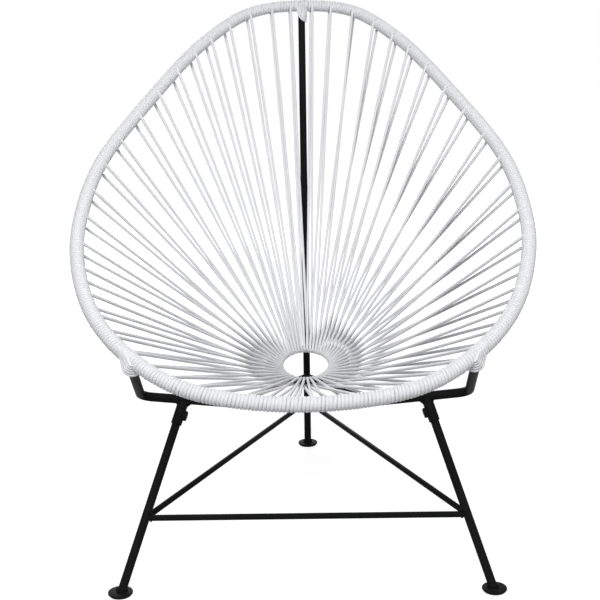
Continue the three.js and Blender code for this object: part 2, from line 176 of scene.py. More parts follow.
class ChairSizes(bpy.types.PropertyGroup):
    """Driving sizes of the chair"""

    rim_half_width: FloatProperty(
        name="Rim half width", description="From the middle plane to the rim's axis",
        default=0.353, unit="LENGTH")
    rim_back: FloatVectorProperty(
        name="Rim back", description="Top of the rim's axis at the back",
        default=(0, 0.44, 0.858), subtype="TRANSLATION")
    rim_front: FloatVectorProperty(
        name="Rim front", description="Middle of the rim's axis at the front",
        default=(0, -0.439, 0.342), subtype="TRANSLATION")
    tube_diameter: FloatProperty(
        name="Tube", description="Diameter of the rim's tube", default=0.0125, unit="LENGTH")
    leg_diameter: FloatProperty(
        name="Leg tube", description="Diameter of the legs and the spine", default=0.0135,
        unit="LENGTH")
    bar_diameter: FloatProperty(
        name="Crossbar tube", description="Diameter of the crossbar", default=0.0147,
        unit="LENGTH")
    brace_diameter: FloatProperty(
        name="Brace rod", description="Diameter of the braces and arms",
        default=0.0096, unit="LENGTH")
    cord_diameter: FloatProperty(
        name="Cord", description="Diameter of the vinyl cord", default=0.005, unit="LENGTH")
    turn_pitch: FloatProperty(
        name="Turn pitch", description="Rim covered by one turn of the winding",
        default=0.00525, unit="LENGTH")
    ring_centre: FloatVectorProperty(
        name="Ring centre", description="Middle of the ring that gathers the cords",
        default=(0, 0.102, 0.231), subtype="TRANSLATION")
    ring_radius: FloatProperty(
        name="Ring radius", description="Radius of the ring's axis", default=0.0491,
        unit="LENGTH")
    ring_rod: FloatProperty(
        name="Ring rod", description="Diameter of the ring's rod", default=0.008,
        unit="LENGTH")
    ring_tilt: FloatProperty(
        name="Ring tilt", description="How far the ring tips towards the sitter's knees",
        default=math.radians(21.3), unit="ROTATION")
    socket_diameter: FloatProperty(
        name="Socket", description="Outer diameter of the leg sockets", default=0.0172,
        unit="LENGTH")
    socket_length: FloatProperty(
        name="Socket length", description="From the crossbar's axis to the lip",
        default=0.0415, unit="LENGTH")
    bolt_head: FloatProperty(
        name="Bolt head", description="Width of a bolt's head across its flats",
        default=0.0155, unit="LENGTH")
    brace_height: FloatProperty(
        name="Brace height", description="Height of the braces on the front legs",
        default=0.099, unit="LENGTH")


class ChairFinish(bpy.types.PropertyGroup):
    """Colours of the chair"""

    cord_colour: FloatVectorProperty(
        name="Cord", description="Colour of the vinyl cord", default=(0.86, 0.865, 0.89),
        subtype="COLOR", size=3, min=0, max=1)
    coat_colour: FloatVectorProperty(
        name="Coat", description="Colour of the powder coat on the steel",
        default=(0.0118, 0.012, 0.0124), subtype="COLOR", size=3, min=0, max=1)
    rubber_colour: FloatVectorProperty(
        name="Rubber", description="Colour of the foot pads", default=(0.011, 0.011, 0.011),
        subtype="COLOR", size=3, min=0, max=1)


class ChairStage(bpy.types.PropertyGroup):
    """Camera and lights"""

    camera_place: FloatVectorProperty(
        name="Camera", description="Where the camera stands", default=(0.0174, -2.0107, 0.8858),
        subtype="TRANSLATION")
    camera_pitch: FloatProperty(
        name="Pitch", description="How far the camera looks down",
        default=math.radians(14.19), unit="ROTATION")
    camera_yaw: FloatProperty(
        name="Yaw", description="How far the camera looks to the right",
        default=math.radians(-0.70), unit="ROTATION")
    camera_roll: FloatProperty(
        name="Roll", description="How far the camera leans", default=math.radians(-0.99),
        unit="ROTATION")
    lens: FloatProperty(
        name="Lens", description="Focal length on a 36 mm sensor, in millimetres",
        default=73.3)
    key_power: FloatProperty(
        name="Key light", description="Power of the key light in watts", default=62)
    fill_power: FloatProperty(
        name="Fill light", description="Power of the fill light in watts", default=9)
    back_power: FloatProperty(
        name="Back light", description="Power of the light behind the chair in watts", default=42)
    world_level: FloatProperty(
        name="Sky level", description="Strength of the even light from all round",
        default=0.15)


# Selecting and settling pieces


def clear_selection():
    """Leaves edit mode and deselects everything."""
    if bpy.context.object and bpy.context.object.mode != "OBJECT":
        bpy.ops.object.mode_set(mode="OBJECT")
    bpy.ops.object.select_all(action="DESELECT")


def only(piece):
    """Makes the piece the one that operators act on."""
    clear_selection()
    piece.select_set(True)
    bpy.context.view_layer.objects.active = piece


def settle(name):
    """Names the active object and moves its place into its mesh."""
    piece = bpy.context.object
    piece.name = name
    piece.data.name = name
    bpy.ops.object.transform_apply(location=True, rotation=True, scale=True)
    return piece


def edit(piece):
    only(piece)
    bpy.ops.object.mode_set(mode="EDIT")
    bpy.ops.mesh.select_all(action="DESELECT")


def leave_edit():
    bpy.ops.object.mode_set(mode="OBJECT")


def pick(piece, kind, test):
    """Selects the vertices, edges or faces of a piece in edit mode that pass a test."""
    bpy.ops.mesh.select_all(action="DESELECT")
    bpy.context.tool_settings.mesh_select_mode = tuple(kind == k for k in ("VERT", "EDGE", "FACE"))
    shape = bmesh.from_edit_mesh(piece.data)
    elements = {"VERT": shape.verts, "EDGE": shape.edges, "FACE": shape.faces}[kind]
    found = 0
    for element in elements:
        if test(element):
            element.select_set(True)
            found += 1
    if not found:
        raise RuntimeError("nothing on " + piece.name + " passes the test")
    shape.select_flush_mode()
    bmesh.update_edit_mesh(piece.data)


def turned_to(direction):
    """Euler angles that turn +Z to a direction."""
    return Vector(direction).to_track_quat("Z", "Y").to_euler()


def finish(piece, material, slot, *replaced):
    """Gives a piece its material, shading, body and place among the CAD nodes."""
    piece.data.materials.clear()
    piece.data.materials.append(material)
    only(piece)
    bpy.ops.object.shade_smooth_by_angle(angle=CRISP_ANGLE)
    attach(piece, BODY)
    if replaced:
        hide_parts(*replaced)


def turn_outwards():
    """Turns the faces of the piece in edit mode outwards and leaves edit mode."""
    bpy.ops.mesh.select_all(action="SELECT")
    bpy.ops.mesh.normals_make_consistent(inside=False)
    leave_edit()


def mirrored(piece):
    """A copy of a left piece on the right, with its own mesh and its faces outwards."""
    only(piece)
    bpy.ops.object.duplicate()
    bpy.ops.transform.mirror(constraint_axis=(True, False, False))
    copy = settle(piece.name.replace("left", "right"))
    edit(copy)
    turn_outwards()
    return copy


def bar(name, start, end, diameter, lip=0.0006):
    """Straight round bar with softened ends."""
    clear_selection()
    axis = Vector(end) - Vector(start)
    bpy.ops.mesh.primitive_cylinder_add(
        vertices=TUBE_SIDES, radius=diameter / 2, depth=axis.length,
        location=(Vector(start) + Vector(end)) / 2, rotation=turned_to(axis))
    piece = settle(name)
    edit(piece)
    along = axis.normalized()
    pick(piece, "EDGE", lambda e: abs((e.verts[0].co - e.verts[1].co).dot(along)) < axis.length / 2)
    bpy.ops.mesh.bevel(offset=lip, segments=2, affect="EDGES")
    leave_edit()
    return piece


# Places on the frame


def middle_of(node):
    low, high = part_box(node)
    return (low + high) / 2


def on_line(start, end, share):
    return Vector(start).lerp(Vector(end), share)


def at_height(start, end, height):
    return on_line(start, end, (height - start[2]) / (end[2] - start[2]))


class Lines:
    """Centre lines of the steel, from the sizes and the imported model"""

    def __init__(self, sizes):
        self.rim_top = Vector(sizes.rim_back)
        rear, left = middle_of("foot_pad_rear"), middle_of("foot_pad_left")
        self.rear_foot = Vector((0, rear.y, 0))
        self.front_foot = Vector((left.x, left.y, 0))
        self.bar_middle = Vector(BAR_MIDDLE)
        self.corner = Vector(BAR_CORNER)
        self.leg_head = on_line(self.bar_middle, self.corner, SOCKET_ASIDE / self.corner.x)
        self.leg_down = (self.front_foot - self.leg_head).normalized()
        self.lip = self.leg_head + self.leg_down * sizes.socket_length
        self.brace_joint = at_height(self.front_foot, self.leg_head, sizes.brace_height)
        self.brace_inner = self.brace_joint + Vector((BRACE_INSET, 0, 0))
        spine_joint = self.on_spine(sizes.brace_height - BRACE_DROP)
        self.brace_weld = spine_joint + Vector((BRACE_ASIDE, 0, 0))
        self.arm_weld = self.on_spine(sizes.ring_centre[2] - ARM_DROP)
        self.arm_end = on_line(self.bar_middle, self.corner, ARM_ASIDE / BAR_CORNER[0])

    def on_spine(self, height):
        """Point on the spine's axis at a height."""
        return at_height(self.rear_foot, self.rim_top, height)


# The rim's curve and the cord on it


def unit(rows):
    return rows / np.linalg.norm(rows, axis=-1, keepdims=True)


def ease(share):
    """Smooth step from 0 to 1."""
    share = np.clip(share, 0, 1)
    return share * share * (3 - 2 * share)


def nested(sizes, order):
    """Size of one of several nested loops, from the first one's and what each next one adds."""
    first, more = sizes
    return first + more * order


class Rim:
    """The rim's axis as one smooth closed curve, left side first"""

    def __init__(self, sizes):
        back, front = np.array(sizes.rim_back), np.array(sizes.rim_front)
        left = []
        for across, forward, rise in RIM_POINT_SHARES:
            point = front + np.array((0, 1 - forward, rise)) * (back - front)
            point[0] = -across * sizes.rim_half_width
            left.append(point)
        right = [point * (-1, 1, 1) for point in left[-2:0:-1]]
        self.samples = self.smooth(left + right)
        steps = np.linalg.norm(np.diff(self.samples, axis=0), axis=1)
        self.reach = np.concatenate([[0], np.cumsum(steps)])
        self.length = self.reach[-1]
        self.ring_centre = np.array(sizes.ring_centre)

    @staticmethod
    def smooth(points):
        """Samples of a centripetal curve through the points, back to the first."""
        rows = []
        count = len(points)
        share = np.linspace(0, 1, CURVE_STEPS, endpoint=False)[:, None]
        for i in range(count):
            p0, p1, p2, p3 = (points[(i + k) % count] for k in (-1, 0, 1, 2))
            d0, d1, d2 = (math.sqrt(np.linalg.norm(b - a)) for a, b in ((p0, p1), (p1, p2), (p2, p3)))
            out = ((p1 - p0) / d0 - (p2 - p0) / (d0 + d1) + (p2 - p1) / d1) * d1
            into = ((p2 - p1) / d1 - (p3 - p1) / (d1 + d2) + (p3 - p2) / d2) * d1
            square = 3 * (p2 - p1) - 2 * out - into
            cube = 2 * (p1 - p2) + out + into
            rows.append(p1 + out * share + square * share**2 + cube * share**3)
        return np.vstack(rows + [points[0]])

    def point(self, distance):
        place = np.asarray(distance) % self.length
        return np.stack([np.interp(place, self.reach, self.samples[:, k]) for k in range(3)], -1)

    def frame_at(self, distance):
        """Axis point, direction, sitter's-side normal and inward normal at distances along the rim."""
        centre = self.point(distance)
        tangent = unit(self.point(distance + MM) - self.point(distance - MM))
        sitter = unit(np.cross(tangent, self.ring_centre - centre))
        return centre, tangent, sitter, np.cross(sitter, tangent)


class Cord:
    """Route of the one long cord: wound round the rim and drawn to the ring at each pair"""

    def __init__(self, sizes):
        self.rim = Rim(sizes)
        self.turns = round(self.rim.length / sizes.turn_pitch)
        self.pitch = self.rim.length / self.turns
        self.wind = sizes.tube_diameter / 2 + sizes.cord_diameter / 2
        self.diameter = sizes.cord_diameter
        self.pressed = PRESSED * self.pitch
        self.strand = TAUT * sizes.cord_diameter
        self.loop = sizes.ring_rod / 2 + self.strand / 2 + RING_PLAY
        self.loop_advance = LOOP_ADVANCE / sizes.ring_radius
        self.ring_radius = sizes.ring_radius
        tilt = sizes.ring_tilt
        self.ring_forward = np.array((0, -math.cos(tilt), -math.sin(tilt)))
        self.ring_normal = np.array((0, -math.sin(tilt), math.cos(tilt)))
        self.posts = []
        for side in (1, -1):
            top = self.rim.point(RISER_SHARE * self.rim.length / 2) * (side, 1, 1)
            corner = np.array(Vector(BAR_CORNER)) * (side, 1, 1)
            self.posts.append((top, unit(corner - top)))

    def spoke(self, angle):
        return -self.ring_forward * math.cos(angle) - np.array((1, 0, 0)) * math.sin(angle)

    def wound(self, turn, lift=0.0, shift=0.0):
        """Points of the winding at turns counted from the top of the back."""
        centre, _, sitter, inward = self.rim.frame_at(turn * self.pitch + shift)
        angle = (2 * math.pi * turn)[:, None]
        radius = (self.wind + lift)[:, None] if np.ndim(lift) else self.wind + lift
        points = centre + radius * (np.cos(angle) * sitter + np.sin(angle) * inward)
        return self.past_posts(points)

    def over(self, place, degrees, lift):
        """Point over the winding at a place along the rim, at an angle from the sitter's side."""
        centre, _, sitter, inward = (row[0] for row in self.rim.frame_at(np.array([place])))
        angle = math.radians(degrees)
        return centre + (self.wind + lift) * (math.cos(angle) * sitter + math.sin(angle) * inward)

    def past_posts(self, points):
        """Moves points that would lie inside a crossbar end to its flank."""
        for root, down in self.posts:
            away = points - root
            along = away @ down
            across = away - along[:, None] * down
            distance = np.linalg.norm(across, axis=1)
            inside = (distance < self.wind) & (along > 0)
            push = across * (self.wind / np.maximum(distance, 1e-6))[:, None]
            points = np.where(inside[:, None], root + along[:, None] * down + push, points)
        return points

    def slant(self, turn, angle):
        """How obliquely the strand at a turn leaves the rim, and the lift that clears its neighbours."""
        centre, tangent, _, _ = self.rim.frame_at(np.array([turn * self.pitch]))
        ring_point = self.rim.ring_centre + self.spoke(angle) * self.ring_radius
        sine = float(tangent[0] @ unit(ring_point - centre[0]))
        return sine / math.sqrt(1 - sine * sine), min(abs(sine), LIFT_LIMIT) * self.diameter

    def winding(self, start, end, leaves=None, joins=None):
        """The winding between two turns. It rises where it leaves for the ring and where it comes back."""
        count = max(2, math.ceil((end - start) * STEPS_PER_TURN) + 1)
        turn = np.linspace(start, end, count)
        lift, shift = np.zeros(count), np.zeros(count)
        for strand, distance in ((leaves, end - turn), (joins, turn - start)):
            if strand:
                slope, height = strand
                near = ease(1 - distance / LEAVING_TURNS)
                lift = np.maximum(lift, height * near)
                shift -= slope * math.pi * self.wind * distance * near
        if joins:
            since = turn - start
            span = min(JOIN_TURNS, end - start - JOIN_START)
            closing = ease(since / JOIN_START) * (1 - ease((since - JOIN_START) / span))
            shift -= JOIN_SHIFT * self.diameter * closing
        return self.wound(turn, lift, shift)

    def climb(self, point, spoke):
        """How steeply a point of the rim is seen from the ring's rod, across the rod."""
        away = point - self.rim.ring_centre - spoke * self.ring_radius
        return math.atan2(away @ self.ring_normal, away @ spoke)

    def pair(self, turn, angle, strand):
        """From the sitter's side of the rim under the ring, round its inner edge, back over the ring
        and to the far side of the rim. The two strands pass each other half way, side by side."""
        _, height = strand
        front = self.wound(np.array([turn]), height)[0]
        rear = self.wound(np.array([turn + 0.5]), height)[0]
        arrives = angle - self.loop_advance
        first = math.pi + self.climb(front, self.spoke(arrives))
        last = self.climb(rear, self.spoke(angle))
        bend = []
        for share in np.linspace(0, 1, BEND_POINTS):
            spoke = self.spoke(arrives + (angle - arrives) * share)
            around = first + (last - first) * share
            out = self.ring_normal * math.cos(around) - spoke * math.sin(around)
            bend.append(self.rim.ring_centre + spoke * self.ring_radius + self.loop * out)
        share = np.linspace(0, 1, STRAND_POINTS, endpoint=False)[1:, None]
        down = front + (bend[0] - front) * share
        back = bend[-1] + (rear - bend[-1]) * share
        return np.vstack([down, bend, back])

    def run(self, first, last, pairs):
        """Route of one run, with its radii: turns from first to last and the pairs that leave."""
        last = min(last, self.turns - LASHED_TURNS)
        parts, widths = [], []
        start, joined = max(first, LASHED_TURNS), None
        for turn, angle in pairs:
            strand = self.slant(turn, angle)
            parts += self.winding(start, turn, strand, joined), self.pair(turn, angle, strand)
            widths += self.pressed, self.strand
            start, joined = turn + 0.5, strand
        parts.append(self.winding(start, last, joins=joined))
        widths.append(self.pressed)
        radii = [np.full(len(part), width / 2) for part, width in zip(parts, widths)]
        return np.vstack(parts), np.concatenate(radii)


def curve_through(points, radius):
    """Smooth open curve through points, with its radii."""
    points = np.array(points)
    ends = np.vstack([2 * points[0] - points[1], points, 2 * points[-1] - points[-2]])
    rows = []
    share = np.linspace(0, 1, LASHING_STEPS, endpoint=False)[:, None]
    for p0, p1, p2, p3 in zip(ends, ends[1:], ends[2:], ends[3:]):
        out, into = (p2 - p0) / 2, (p3 - p1) / 2
        rows.append(p1 + out * share + (3 * (p2 - p1) - 2 * out - into) * share**2
                    + (2 * (p1 - p2) + out + into) * share**3)
    route = np.vstack(rows + [points[-1:]])
    return route, np.full(len(route), radius)


def swept(name, routes):
    """Mesh of round cord along routes with their radii, with a map that runs along and round it."""
    vertices, faces, uvs = [], [], []
    sides = CORD_SIDES
    around = 2 * np.pi * np.arange(sides) / sides
    for route, radii in routes:
        steps = np.linalg.norm(np.diff(route, axis=0), axis=1)
        keep = np.concatenate([[True], steps > SAME_PLACE])
        route, radii = route[keep], radii[keep]
        reach = np.concatenate([[0], np.cumsum(np.linalg.norm(np.diff(route, axis=0), axis=1))])
        tangents = unit(np.gradient(route, axis=0))
        side = unit(np.cross(tangents[0], ASLANT))
        base = len(vertices)
        for point, tangent, radius in zip(route, tangents, radii):
            side = unit(side - tangent * (side @ tangent))
            other = np.cross(tangent, side)
            ring = point + radius * (np.cos(around)[:, None] * side + np.sin(around)[:, None] * other)
            vertices.extend(ring.tolist())
        for i in range(len(route) - 1):
            here, there = base + i * sides, base + (i + 1) * sides
            for j in range(sides):
                k = (j + 1) % sides
                faces.append((here + j, here + k, there + k, there + j))
                low, high = j / sides, (j + 1) / sides
                uvs.extend(((reach[i], low), (reach[i], high), (reach[i + 1], high), (reach[i + 1], low)))
        for start, order in ((base, -1), (base + (len(route) - 1) * sides, 1)):
            faces.append(tuple(start + j for j in range(sides))[::order])
            end = 0 if order < 0 else reach[-1]
            uvs.extend((end, j / sides) for j in range(sides))
    mesh = bpy.data.meshes.new(name)
    mesh.from_pydata(vertices, [], faces)
    layer = mesh.uv_layers.new(name=CORD_MAP)
    layer.data.foreach_set("uv", np.array(uvs, dtype=np.float32).ravel())
    mesh.update()
    piece = bpy.data.objects.new(name, mesh)
    bpy.context.scene.collection.objects.link(piece)
    return piece


# Materials


def add_node(tree, kind, values=None, **settings):
    """A new node of a tree, with settings such as its operation and values for its inputs."""
    node = tree.nodes.new(kind)
    for name, setting in settings.items():
        setattr(node, name, setting)
    for socket, value in (values or {}).items():
        node.inputs[socket].default_value = value
    return node


def wire(tree, *wires):
    """Links sockets, each given as the node and output it comes from and the node and input it feeds."""
    for source, output, sink, into in wires:
        tree.links.new(source.outputs[output], sink.inputs[into])


def grain_group():
    """Grain: a speckle for height, and soft patches that change the roughness and the colour."""
    group = bpy.data.node_groups.get("grain")
    if group:
        return group
    group = bpy.data.node_groups.new("grain", "ShaderNodeTree")
    for label, kind, value in (
        ("Vector", "Vector", (0, 0, 0)), ("Grain Scale", "Float", 900.0),
        ("Patch Scale", "Float", 9.0), ("Roughness", "Float", 0.5),
        ("Roughness Change", "Float", 0.1), ("Colour", "Color", (1, 1, 1, 1)),
        ("Colour Change", "Float", 0.1),
    ):
        socket = group.interface.new_socket(
            name=label, in_out="INPUT", socket_type="NodeSocket" + kind)
        socket.default_value = value
    for label, kind in (("Height", "Float"), ("Roughness", "Float"), ("Colour", "Color")):
        group.interface.new_socket(name=label, in_out="OUTPUT", socket_type="NodeSocket" + kind)
    source, sink = add_node(group, "NodeGroupInput"), add_node(group, "NodeGroupOutput")
    speckle = add_node(group, "ShaderNodeTexNoise", {"Detail": 2})
    patch = add_node(group, "ShaderNodeTexNoise", {"Detail": 4})
    centred = add_node(group, "ShaderNodeMath", {1: 0.5}, operation="SUBTRACT")
    rough = add_node(group, "ShaderNodeMath", operation="MULTIPLY_ADD")
    level = add_node(group, "ShaderNodeMath", {2: 1}, operation="MULTIPLY_ADD")
    tint = add_node(group, "ShaderNodeVectorMath", operation="SCALE")
    wire(
        group,
        (source, "Vector", speckle, "Vector"), (source, "Grain Scale", speckle, "Scale"),
        (source, "Vector", patch, "Vector"), (source, "Patch Scale", patch, "Scale"),
        (patch, "Fac", centred, 0),
        (centred, 0, rough, 0), (source, "Roughness Change", rough, 1),
        (source, "Roughness", rough, 2),
        (centred, 0, level, 0), (source, "Colour Change", level, 1),
        (source, "Colour", tint, 0), (level, 0, tint, "Scale"),
        (speckle, "Fac", sink, "Height"), (rough, 0, sink, "Roughness"),
        (tint, 0, sink, "Colour"))
    return group


def grained(name, colour, mirror, bump, depth, values):
    """New material with the grain group, its bump and a level for how much it mirrors."""
    material = bpy.data.materials.new(name)
    material.use_nodes = True
    tree = material.node_tree
    shader = tree.nodes["Principled BSDF"]
    shader.inputs["Specular IOR Level"].default_value = mirror
    places = add_node(tree, "ShaderNodeTexCoord")
    grain = add_node(tree, "ShaderNodeGroup", {**values, "Colour": (*colour, 1)},
                     node_tree=grain_group())
    relief = add_node(tree, "ShaderNodeBump", {"Strength": bump, "Distance": depth})
    wire(
        tree,
        (places, "Object", grain, "Vector"), (grain, "Height", relief, "Height"),
        (relief, "Normal", shader, "Normal"), (grain, "Roughness", shader, "Roughness"),
        (grain, "Colour", shader, "Base Color"))
    return material, tree, shader, grain, relief


def vinyl_material(finish_colours):
    """White vinyl: a soft skin with faint drawn lines along the cord and a little grime in patches."""
    found = bpy.data.materials.get("white_vinyl")
    if found:
        return found
    material, tree, shader, grain, relief = grained(
        "white_vinyl", finish_colours.cord_colour, mirror=0.35, bump=0.03, depth=0.0001,
        values={"Grain Scale": 420.0, "Patch Scale": 16.0, "Roughness": 0.42,
                "Roughness Change": 0.2, "Colour Change": 0.05})
    along = add_node(tree, "ShaderNodeUVMap", uv_map=CORD_MAP)
    stretch = add_node(tree, "ShaderNodeMapping", {"Scale": (14, 9, 1)})
    drawn = add_node(tree, "ShaderNodeTexNoise", {"Scale": 1.0, "Detail": 3})
    grime = add_node(tree, "ShaderNodeMix", {"Factor": 0.10}, data_type="RGBA",
                     blend_type="MULTIPLY")
    lines = add_node(tree, "ShaderNodeBump", {"Strength": 0.10, "Distance": 0.00015})
    wire(
        tree,
        (along, "UV", stretch, "Vector"), (stretch, "Vector", drawn, "Vector"),
        (grain, "Colour", grime, "A"), (drawn, "Fac", grime, "B"),
        (grime, "Result", shader, "Base Color"),
        (drawn, "Fac", lines, "Height"), (relief, "Normal", lines, "Normal"),
        (lines, "Normal", shader, "Normal"))
    return material


def coat_material(finish_colours):
    """Black powder coat, nearly matt, with a fine orange peel."""
    found = bpy.data.materials.get("black_powder_coat")
    return found or grained(
        "black_powder_coat", finish_colours.coat_colour, mirror=0.012, bump=0.22, depth=0.00025,
        values={"Grain Scale": 1100.0, "Patch Scale": 22.0, "Roughness": 0.42,
                "Roughness Change": 0.16, "Colour Change": 0.5})[0]


def rubber_material(finish_colours):
    """Black rubber, dull and slightly pitted."""
    found = bpy.data.materials.get("black_rubber")
    return found or grained(
        "black_rubber", finish_colours.rubber_colour, mirror=0.15, bump=0.35, depth=0.0003,
        values={"Grain Scale": 700.0, "Patch Scale": 30.0, "Roughness": 0.82,
                "Roughness Change": 0.2, "Colour Change": 0.6})[0]


class ChairOperator:
    """What the chair's operators share"""

    bl_options = {"REGISTER", "UNDO"}

    def prepare(self, context):
        self.sizes = context.scene.chair_sizes
        self.colours = context.scene.chair_finish
        self.lines = Lines(self.sizes)

    def coat(self, piece, *replaced):
        """Finishes a piece of the frame."""
        finish(piece, coat_material(self.colours), "frame_coat", *replaced)

    def coat_both(self, left, node):
        """Finishes a left piece of the frame and its mirrored copy."""
        for side, piece in zip(SIDES, (left, mirrored(left))):
            self.coat(piece, f"{node}_{side}")


class CHAIR_OT_strung_cord(ChairOperator, bpy.types.Operator):
    """Winds the cord round the rim and strings it to the ring, run by run"""

    bl_idname = "chair.strung_cord"
    bl_label = "Strung Cord"

    def execute(self, context):
        self.prepare(context)
        cord = Cord(self.sizes)
        vinyl = vinyl_material(self.colours)
        count = len(RUN_SHARES)
        bounds = np.concatenate([[0], np.cumsum(RUN_SHARES)]) / 2
        for side in SIDES:
            for run, (low, high) in enumerate(zip(bounds, bounds[1:])):
                stretch = (high - low) / PAIRS_PER_RUN
                pairs = []
                for pair in range(PAIRS_PER_RUN):
                    share = low + (pair + PAIR_SHARE) * stretch
                    angle = math.pi * (run * PAIRS_PER_RUN + pair + 0.5) / (count * PAIRS_PER_RUN)
                    if side == "right":
                        share, angle = 1 - share, -angle
                    pairs.append((round(share * cord.turns), angle))
                if side == "right":
                    low, high = 1 - high, 1 - low
                first, last = low * cord.turns + RUN_GAP, high * cord.turns - RUN_GAP
                route = cord.run(first, last, sorted(pairs))
                piece = swept(f"cord_{run + 1:02d}_{side}", [route])
                finish(piece, vinyl, "cord", f"cord_run_{run + 1:02d}_{side}")
        return {"FINISHED"}


class CHAIR_OT_lashings(ChairOperator, bpy.types.Operator):
    """Lashes the spine's top and both crossbar ends to the rim with the same cord"""

    bl_idname = "chair.lashings"
    bl_label = "Lashings"

    def execute(self, context):
        self.prepare(context)
        cord = Cord(self.sizes)
        vinyl = vinyl_material(self.colours)
        finish(swept("lashing_spine", self.spine_loops(cord)), vinyl, "cord")
        for side in SIDES:
            finish(swept("lashing_" + side, self.riser_loops(cord, side)), vinyl, "cord")
        return {"FINISHED"}

    def spine_loops(self, cord):
        """Turns that come down in front of the spine and hook round its right flank, one below another."""
        radius = SPINE_CORD * cord.diameter
        tube = self.sizes.leg_diameter / 2
        flank = tube + radius
        top = np.array(self.lines.rim_top)
        down = unit(np.array(self.lines.rear_foot - self.lines.rim_top))
        routes = []
        for order, depth in enumerate(SPINE_HOOKS):
            place = SPINE_SPACING * (2 - order) * cord.pitch
            lift = nested(SPINE_LIFT, order) * radius
            points = [cord.over(place, degrees, lift) for degrees in SPINE_ARC]
            for share in HOOK_SHARES:
                quarter = share * math.pi / 2
                across = -place + (flank + place) * (1 - math.cos(quarter))
                ahead = flank if abs(across) < tube else flank * HOOK_AHEAD
                if share == 1:
                    ahead = HOOK_END * flank
                on_spine = top + down * depth * math.sin(quarter)
                points.append(on_spine + np.array((across, -ahead, 0)))
            for rise, across in HOOK_BEHIND:
                on_spine = top + down * (depth - rise * radius)
                points.append(on_spine + np.array((across * flank, flank, 0)))
            routes.append(curve_through(points, radius))
        return routes

    def riser_loops(self, cord, side):
        """Nested loops that hang from the rim over the root of a crossbar end."""
        radius = cord.strand / 2
        half = cord.rim.length / 2
        sign = 1 if side == "left" else -1
        at = (RISER_SHARE if side == "left" else 2 - RISER_SHARE) * half + sign * LASHING_FORWARD
        root = cord.rim.point(at)
        away = unit(np.array(self.lines.corner) * (sign, 1, 1) - root)
        across = unit(np.cross(away, (0, 0, 1)))
        below = np.cross(away, across)
        if below[2] > 0:
            below = -below
        if across[0] * sign < 0:
            across = -across
        hang = root + below * LASHING_DROP
        routes = []
        for order in range(LASHING_LOOPS):
            reach = nested(LOOP_REACH, order)
            middle = hang + away * nested(LOOP_AHEAD, order)
            forward = at + sign * LOOP_SPREAD * reach
            points = [cord.over(forward, degrees, START_LIFT * radius) for degrees in LOOP_START]
            for angle in (math.radians(degrees) for degrees in LOOP_ARC):
                points.append(middle + across * reach * math.cos(angle)
                              + below * reach * math.sin(angle))
            behind = at - sign * nested(LOOP_BEHIND, order)
            points += (cord.over(behind, degrees, lift * radius) for degrees, lift in LOOP_END)
            routes.append(curve_through(points, radius))
        return routes


class CHAIR_OT_spine(ChairOperator, bpy.types.Operator):
    """Makes the back spine, one straight tube from the rim to the rear foot"""

    bl_idname = "chair.spine"
    bl_label = "Back Spine"

    def execute(self, context):
        self.prepare(context)
        foot = self.lines.on_spine(TUBE_FOOT)
        top = on_line(self.lines.rear_foot, self.lines.rim_top, SPINE_SHARE)
        self.coat(bar("spine_tube", foot, top, self.sizes.leg_diameter), "back_spine")
        return {"FINISHED"}


class CHAIR_OT_crossbar(ChairOperator, bpy.types.Operator):
    """Makes the crossbar, bent up and forward at both ends"""

    bl_idname = "chair.crossbar"
    bl_label = "Crossbar"

    def execute(self, context):
        self.prepare(context)
        rim = Rim(self.sizes)
        top = Vector(rim.point(RISER_SHARE * rim.length / 2))
        corner = self.lines.corner
        piece = bent_tube(
            "crossbar_tube", [top, corner, self.lines.bar_middle, corner * FLIP, top * FLIP],
            [CORNER_REACH, MIDDLE_REACH, CORNER_REACH], self.sizes.bar_diameter)
        self.coat(piece, "crossbar")
        return {"FINISHED"}


def bent_tube(name, corners, reaches, diameter):
    """Round tube through corners, each rounded over its reach, closed at both ends."""
    clear_selection()
    heading = (corners[1] - corners[0]).normalized()
    bpy.ops.mesh.primitive_circle_add(
        vertices=TUBE_SIDES, radius=diameter / 2, location=corners[0], rotation=turned_to(heading))
    piece = settle(name)
    edit(piece)
    bpy.ops.mesh.select_all(action="SELECT")
    place = corners[0]
    for corner, after, reach in zip(corners[1:-1], corners[2:], reaches):
        bend_start = corner - heading * reach
        onward = (after - corner).normalized()
        extrude_by(bend_start - place)
        turn = heading.angle(onward)
        hinge = heading.cross(onward).normalized()
        centre = bend_start + hinge.cross(heading) * (reach / math.tan(turn / 2))
        # With no window, spin turns the other way, so its axis is reversed
        bpy.ops.mesh.spin(steps=BEND_STEPS, angle=turn, center=centre, axis=-hinge)
        place = corner + onward * reach
        heading = onward
    extrude_by(corners[-1] - place)
    pick(piece, "EDGE", lambda e: e.is_boundary)
    bpy.ops.mesh.fill()
    bpy.ops.mesh.select_all(action="SELECT")
    bpy.ops.mesh.remove_doubles(threshold=SAME_PLACE)
    turn_outwards()
    return piece


def extrude_by(move):
    bpy.ops.mesh.extrude_region_move(TRANSFORM_OT_translate={"value": move})


class CHAIR_OT_centre_ring(ChairOperator, bpy.types.Operator):
    """Makes the ring that gathers the cords"""

    bl_idname = "chair.centre_ring"
    bl_label = "Centre Ring"

    def execute(self, context):
        self.prepare(context)
        clear_selection()
        round_ring, round_rod = RING_SIDES
        bpy.ops.mesh.primitive_torus_add(
            major_segments=round_ring, minor_segments=round_rod,
            major_radius=self.sizes.ring_radius, minor_radius=self.sizes.ring_rod / 2,
            location=self.sizes.ring_centre, rotation=(self.sizes.ring_tilt, 0, 0))
        self.coat(settle("gathering_ring"), "centre_ring")
        return {"FINISHED"}


